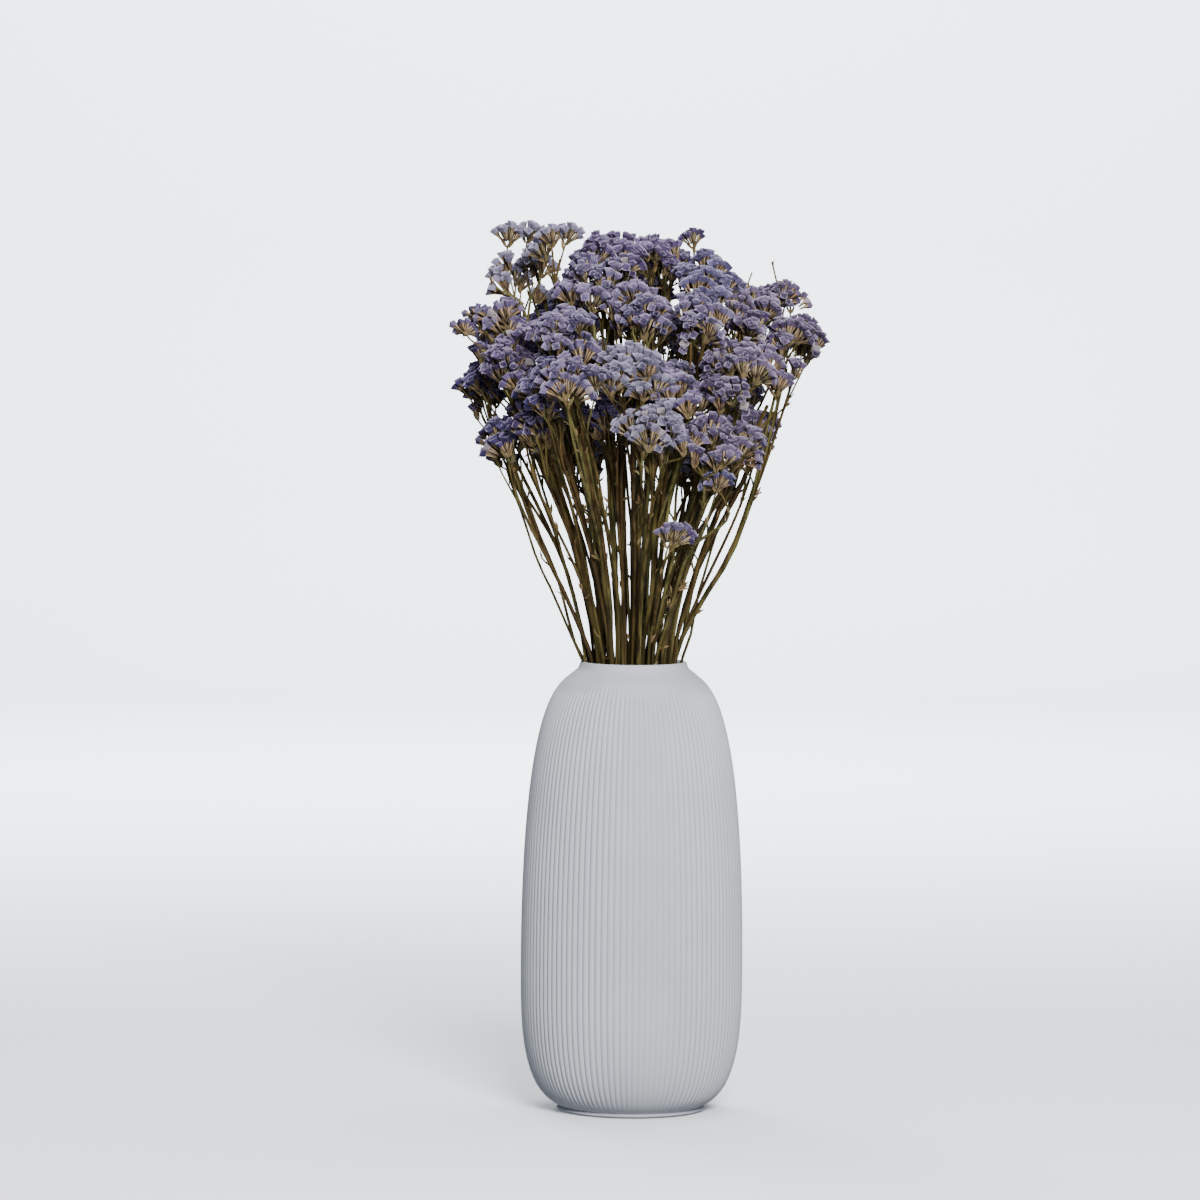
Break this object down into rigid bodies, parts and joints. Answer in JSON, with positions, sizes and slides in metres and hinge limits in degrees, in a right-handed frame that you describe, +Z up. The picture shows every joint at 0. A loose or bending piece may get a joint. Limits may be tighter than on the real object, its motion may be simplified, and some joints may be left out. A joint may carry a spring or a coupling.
{
  "type": "dried flower bunch in vase",
  "caption": "Dried statice bunch: long forked stems with papery flower clusters at their tips, standing in a tall ribbed egg-shaped vase with a narrow mouth.",
  "frame": {"origin": "middle of the vase's foot, on the plane that the vase stands on", "axes": "+Z up along the vase's axis; the picture was taken from the -Y side, so +X is to its right and +Y away from it"},
  "size_m": [0.2496, 0.2273, 0.614],
  "materials": {
    "ceramic": "matte",
    "stalk": "matte",
    "petals_pale": "matte",
    "petals_lilac": "matte",
    "petals_violet": "matte",
    "petals_deep": "matte",
    "petals_blue": "matte",
    "petals_mauve": "matte"
  },
  "bodies": {
    "root": {"crown_01_pale": "petals_pale", "crown_02_pale": "petals_pale", "crown_03_violet": "petals_violet", "crown_04_violet": "petals_violet", "crown_05_violet": "petals_violet", "crown_06_blue": "petals_blue", "crown_07_lilac": "petals_lilac", "crown_08_lilac": "petals_lilac", "crown_09_lilac": "petals_lilac", "crown_10_lilac": "petals_lilac", "crown_11_mauve": "petals_mauve", "crown_12_mauve": "petals_mauve", "crown_13_mauve": "petals_mauve", "crown_14_lilac": "petals_lilac", "crown_15_mauve": "petals_mauve", "crown_16_mauve": "petals_mauve", "crown_17_pale": "petals_pale", "crown_18_lilac": "petals_lilac", "crown_19_violet": "petals_violet", "crown_20_deep": "petals_deep", "crown_21_deep": "petals_deep", "crown_22_deep": "petals_deep", "crown_23_violet": "petals_violet", "crown_24_deep": "petals_deep", "crown_25_lilac": "petals_lilac", "crown_26_pale": "petals_pale", "crown_27_mauve": "petals_mauve", "crown_28_blue": "petals_blue", "crown_29_lilac": "petals_lilac", "crown_30_pale": "petals_pale", "crown_31_mauve": "petals_mauve", "crown_32_violet": "petals_violet", "crown_33_lilac": "petals_lilac", "crown_34_deep": "petals_deep", "crown_35_mauve": "petals_mauve", "crown_36_blue": "petals_blue", "crown_37_pale": "petals_pale", "crown_38_violet": "petals_violet", "crown_39_lilac": "petals_lilac", "crown_40_deep": "petals_deep", "crown_41_mauve": "petals_mauve", "crown_42_blue": "petals_blue", "crown_43_pale": "petals_pale", "plant_01": "stalk", "plant_02": "stalk", "plant_03": "stalk", "plant_04": "stalk", "plant_05": "stalk", "plant_06": "stalk", "plant_07": "stalk", "plant_08": "stalk", "plant_09": "stalk", "plant_10": "stalk", "plant_11": "stalk", "plant_12": "stalk", "plant_13": "stalk", "plant_14": "stalk", "plant_15": "stalk", "vase": "ceramic"}
  },
  "joints": []
}
